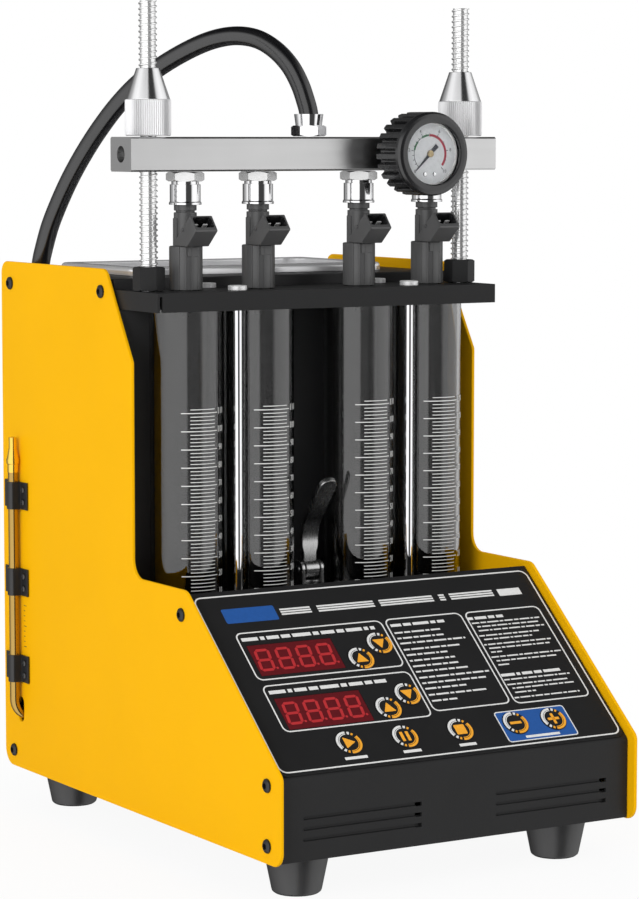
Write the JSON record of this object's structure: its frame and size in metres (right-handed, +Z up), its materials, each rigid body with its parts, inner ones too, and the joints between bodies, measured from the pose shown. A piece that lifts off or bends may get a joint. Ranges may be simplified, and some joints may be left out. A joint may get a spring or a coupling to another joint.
{
  "type": "fuel injector cleaner and tester",
  "caption": "Bench machine that cleans and flow tests fuel injectors: sheet cabinet with ultrasonic bath, glass measuring tubes, clamped fuel rail, pressure gauge and sloped control panel.",
  "frame": {"origin": "on the bench, under the middle of the cabinet's plan", "axes": "+X to the right seen from the control face, +Y to the back, +Z up"},
  "size_m": [0.2372, 0.322, 0.4638],
  "materials": {
    "yellow_paint": "satin powder coat",
    "black_paint": "fine matt powder coat",
    "overlay_film": "printed polyester film",
    "black_plastic": "moulded, satin",
    "black_rubber": "matt",
    "aluminium": "fine brushed",
    "bright_steel": "polished",
    "clear_glass": "clear, polished",
    "brass": "polished",
    "button_print": "satin print",
    "circuit_board": "lacquered",
    "white_enamel": "satin enamel",
    "needle_black": "satin",
    "white_plastic": "translucent moulded"
  },
  "bodies": {
    "machine": {"left_side_panel": "yellow_paint", "right_side_panel": "yellow_paint", "front_cover": "black_paint", "base_pan": "black_paint", "back_cover": "black_paint", "top_deck": "black_paint", "bay_housing": "black_paint", "injector_plate": "black_paint", "control_overlay": "overlay_film", "tube_base": "black_plastic", "drain_valve": "black_plastic", "injector_1": "black_plastic", "injector_2": "black_plastic", "injector_3": "black_plastic", "injector_4": "black_plastic", "power_inlet": "black_plastic", "foot_front_left": "black_rubber", "foot_front_right": "black_rubber", "foot_rear_left": "black_rubber", "foot_rear_right": "black_rubber", "deck_hose_fitting": "black_rubber", "supply_hose": "black_rubber", "threaded_rod_left": "aluminium", "threaded_rod_right": "aluminium", "ultrasonic_tank": "bright_steel", "clamp_column_front_left": "bright_steel", "clamp_column_front_right": "bright_steel", "clamp_column_back_left": "bright_steel", "clamp_column_back_right": "bright_steel", "measuring_tube_1": "clear_glass", "measuring_tube_2": "clear_glass", "measuring_tube_3": "clear_glass", "measuring_tube_4": "clear_glass", "level_gauge": "brass", "control_board": "circuit_board", "fluid_reservoir": "white_plastic"},
    "rail": {"fuel_rail": "aluminium", "rail_fitting_1": "bright_steel", "rail_fitting_2": "bright_steel", "rail_fitting_3": "bright_steel", "rail_fitting_4": "bright_steel", "gauge_case": "black_plastic", "gauge_dial": "white_enamel", "gauge_lens": "clear_glass", "gauge_boot": "black_rubber", "rail_hose_fitting": "bright_steel"},
    "knurled_nut_left_body": {"knurled_nut_left": "aluminium"},
    "knurled_nut_right_body": {"knurled_nut_right": "aluminium"},
    "gauge_needle_body": {"gauge_needle": "needle_black"},
    "drain_lever_body": {"drain_lever": "black_plastic"},
    "power_switch_body": {"power_switch": "black_plastic"},
    "function_up_key": {"function_up_button": "button_print"},
    "function_down_key": {"function_down_button": "button_print"},
    "time_up_key": {"time_up_button": "button_print"},
    "time_down_key": {"time_down_button": "button_print"},
    "start_key": {"start_button": "button_print"},
    "pause_key": {"pause_button": "button_print"},
    "stop_key": {"stop_button": "button_print"},
    "pressure_less_key": {"pressure_less_button": "button_print"},
    "pressure_more_key": {"pressure_more_button": "button_print"}
  },
  "joints": [
    {"name": "function_up_press", "type": "slide", "parent": "machine", "child": "function_up_key", "axis": [0, 0.6425, -0.7663], "range_m": [0, 0.0008], "stiffness_N_per_m": 500},
    {"name": "function_down_press", "type": "slide", "parent": "machine", "child": "function_down_key", "axis": [0, 0.6425, -0.7663], "range_m": [0, 0.0008], "stiffness_N_per_m": 500},
    {"name": "time_up_press", "type": "slide", "parent": "machine", "child": "time_up_key", "axis": [0, 0.6425, -0.7663], "range_m": [0, 0.0008], "stiffness_N_per_m": 500},
    {"name": "time_down_press", "type": "slide", "parent": "machine", "child": "time_down_key", "axis": [0, 0.6425, -0.7663], "range_m": [0, 0.0008], "stiffness_N_per_m": 500},
    {"name": "start_press", "type": "slide", "parent": "machine", "child": "start_key", "axis": [0, 0.6425, -0.7663], "range_m": [0, 0.0008], "stiffness_N_per_m": 500},
    {"name": "pause_press", "type": "slide", "parent": "machine", "child": "pause_key", "axis": [0, 0.6425, -0.7663], "range_m": [0, 0.0008], "stiffness_N_per_m": 500},
    {"name": "stop_press", "type": "slide", "parent": "machine", "child": "stop_key", "axis": [0, 0.6425, -0.7663], "range_m": [0, 0.0008], "stiffness_N_per_m": 500},
    {"name": "pressure_less_press", "type": "slide", "parent": "machine", "child": "pressure_less_key", "axis": [0, 0.6425, -0.7663], "range_m": [0, 0.0008], "stiffness_N_per_m": 500},
    {"name": "pressure_more_press", "type": "slide", "parent": "machine", "child": "pressure_more_key", "axis": [0, 0.6425, -0.7663], "range_m": [0, 0.0008], "stiffness_N_per_m": 500},
    {"name": "rail_slide", "type": "slide", "parent": "machine", "child": "rail", "axis": [0, 0, 1], "range_m": [0, 0.03], "deforming": ["supply_hose"]},
    {"name": "left_nut_turn", "type": "hinge", "parent": "rail", "child": "knurled_nut_left_body", "pos_m": [-0.1009, -0.0015, 0.391], "axis": [0, 0, 1], "range_deg": [0, 3601]},
    {"name": "right_nut_turn", "type": "hinge", "parent": "rail", "child": "knurled_nut_right_body", "pos_m": [0.1009, -0.0015, 0.391], "axis": [0, 0, 1], "range_deg": [0, 3601]},
    {"name": "needle_turn", "type": "hinge", "parent": "rail", "child": "gauge_needle_body", "pos_m": [0.0555, -0.0396, 0.38165], "axis": [0, 1, 0], "range_deg": [0, 270], "stiffness_Nm_per_rad": 0.0001, "springref_deg": -28.65},
    {"name": "lever_turn", "type": "hinge", "parent": "machine", "child": "drain_lever_body", "pos_m": [0, -0.0015, 0.1491], "axis": [1, 0, 0], "range_deg": [0, 45]},
    {"name": "switch_rock", "type": "hinge", "parent": "machine", "child": "power_switch_body", "pos_m": [-0.07, 0.1568, 0.0895], "axis": [1, 0, 0], "range_deg": [0, 20]}
  ],
  "couplings": [
    {"joint": "left_nut_turn", "follows": "rail_slide", "rad_per_m": 2094.4},
    {"joint": "right_nut_turn", "follows": "rail_slide", "rad_per_m": 2094.4}
  ]
}
